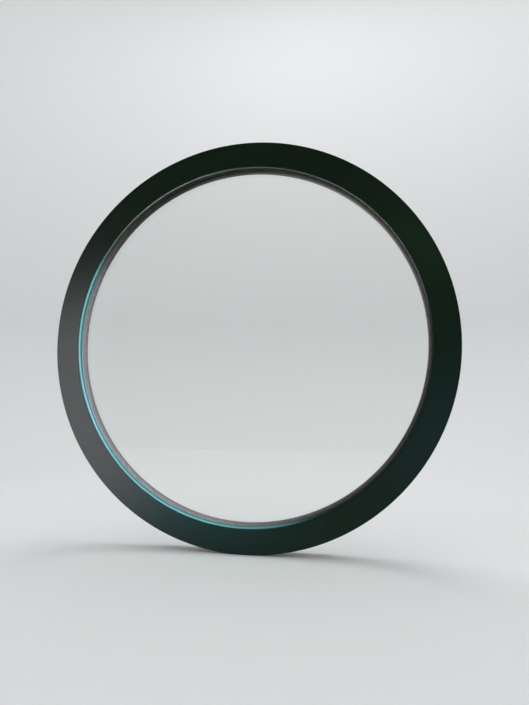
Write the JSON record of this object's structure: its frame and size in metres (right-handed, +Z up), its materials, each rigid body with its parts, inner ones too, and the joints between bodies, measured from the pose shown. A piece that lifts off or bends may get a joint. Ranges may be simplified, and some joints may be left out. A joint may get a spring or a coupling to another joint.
{
  "type": "round fixed window",
  "caption": "Round fixed window: a wide flat metal cover ring, a bead with a rounded nose, sealed double glazing in a thermally broken frame, and lugs for fixing to masonry.",
  "frame": {"origin": "centre of the circle of fixing holes, on the plane that seats against the masonry", "axes": "+Y along the window's axis towards the outdoors, -Y towards the room, +Z up, +X to the right as seen from the room"},
  "size_m": [1.1998, 0.06, 1.2],
  "materials": {
    "frame_paint": "satin powder coat, dark blue-green",
    "foam_strip": "matt closed-cell foam",
    "clip_plastic": "moulded, natural",
    "plated_screws": "zinc plated",
    "gasket_rubber": "matt black",
    "clear_glass": "clear float glass",
    "spacer_black": "matt black",
    "edge_sealant": "matt black",
    "block_plastic": "moulded, blue",
    "strip_plastic": "glass-filled, black",
    "galvanised_steel": "hot-dip galvanised",
    "cap_plastic": "moulded, black"
  },
  "bodies": {
    "root": {"cover_ring": "frame_paint", "cover_edge_seal": "foam_strip", "cover_clips": "clip_plastic", "clip_screws": "plated_screws", "glazing_bead": "frame_paint", "room_gasket": "gasket_rubber", "room_pane": "clear_glass", "spacer_ring": "spacer_black", "edge_seal": "edge_sealant", "weather_pane": "clear_glass", "weather_gasket": "gasket_rubber", "setting_blocks": "block_plastic", "location_blocks": "block_plastic", "inner_frame": "frame_paint", "inner_thermal_strip": "strip_plastic", "outer_thermal_strip": "strip_plastic", "outer_frame": "frame_paint", "fixing_lugs": "galvanised_steel", "lug_screws": "plated_screws", "weep_caps": "cap_plastic"}
  },
  "joints": []
}
